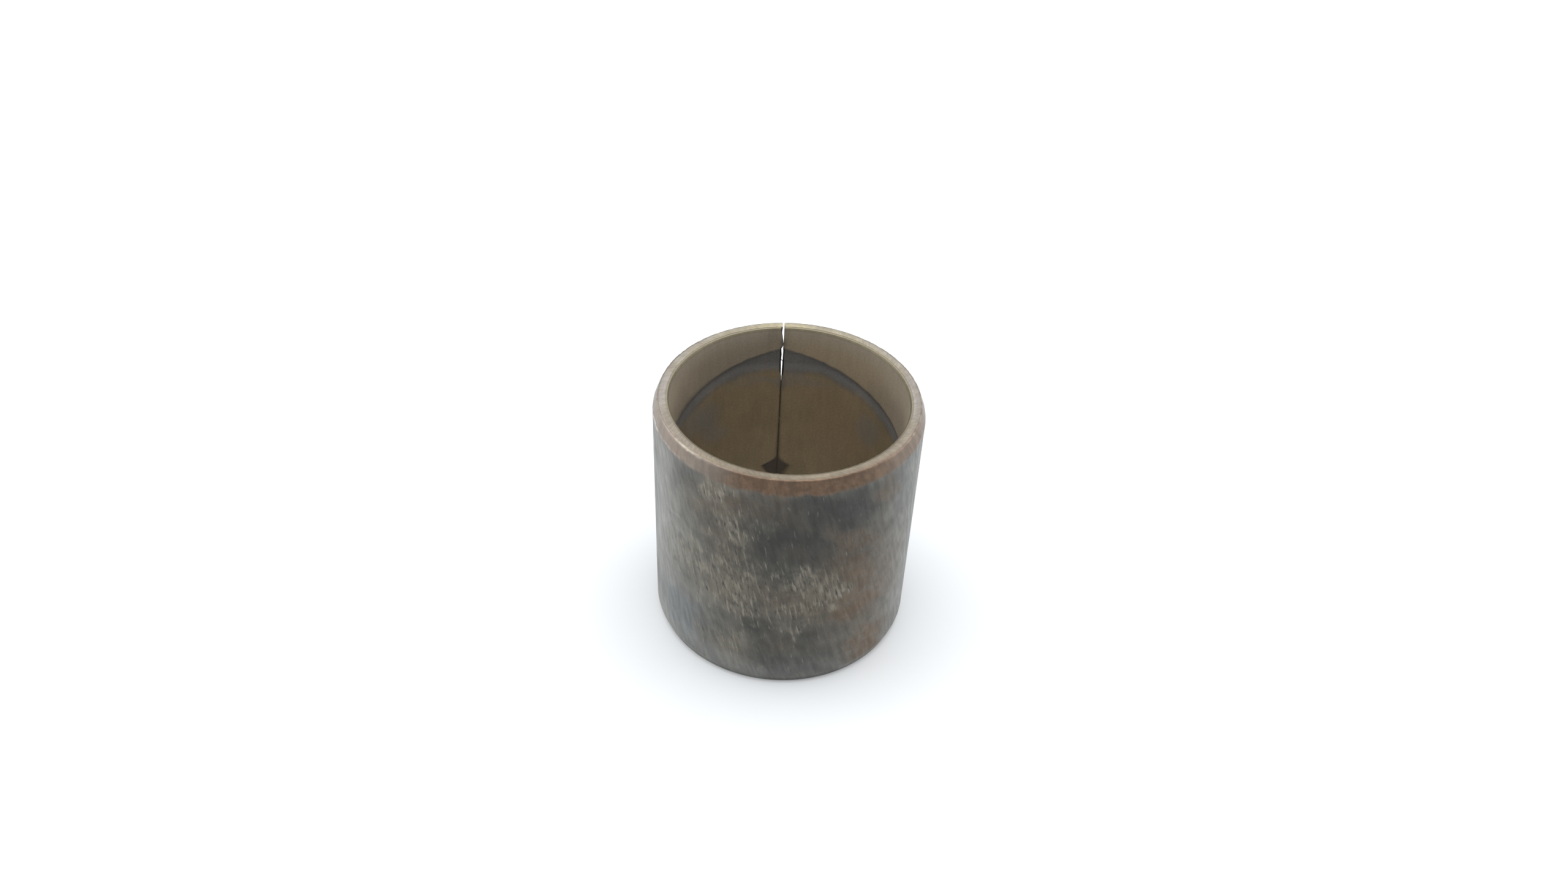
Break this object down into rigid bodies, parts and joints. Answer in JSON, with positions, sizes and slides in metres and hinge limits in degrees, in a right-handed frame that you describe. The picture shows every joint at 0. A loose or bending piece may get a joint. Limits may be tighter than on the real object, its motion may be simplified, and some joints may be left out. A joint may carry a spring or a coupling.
{
  "type": "split sleeve bushing",
  "caption": "Rolled split sleeve bushing: a steel back lined with sintered bronze, open along a straight butt seam, with crossing oil grooves in the bore and chamfered ends.",
  "frame": {"origin": "centre of the bottom end face, on the bore axis", "axes": "+Z along the bore axis towards the end with the longer chamfer, +Y towards the butt seam, +X to the right of someone looking towards the seam from inside the bore"},
  "size_m": [0.025, 0.025, 0.025],
  "materials": {
    "oxidised_steel": "dark oxidised mill finish with light scuffs and brown tints",
    "sintered_bronze": "satin, dulled olive-brown sintered bronze"
  },
  "bodies": {
    "root": {"steel_backing": "oxidised_steel", "bronze_lining": "sintered_bronze"}
  },
  "joints": []
}
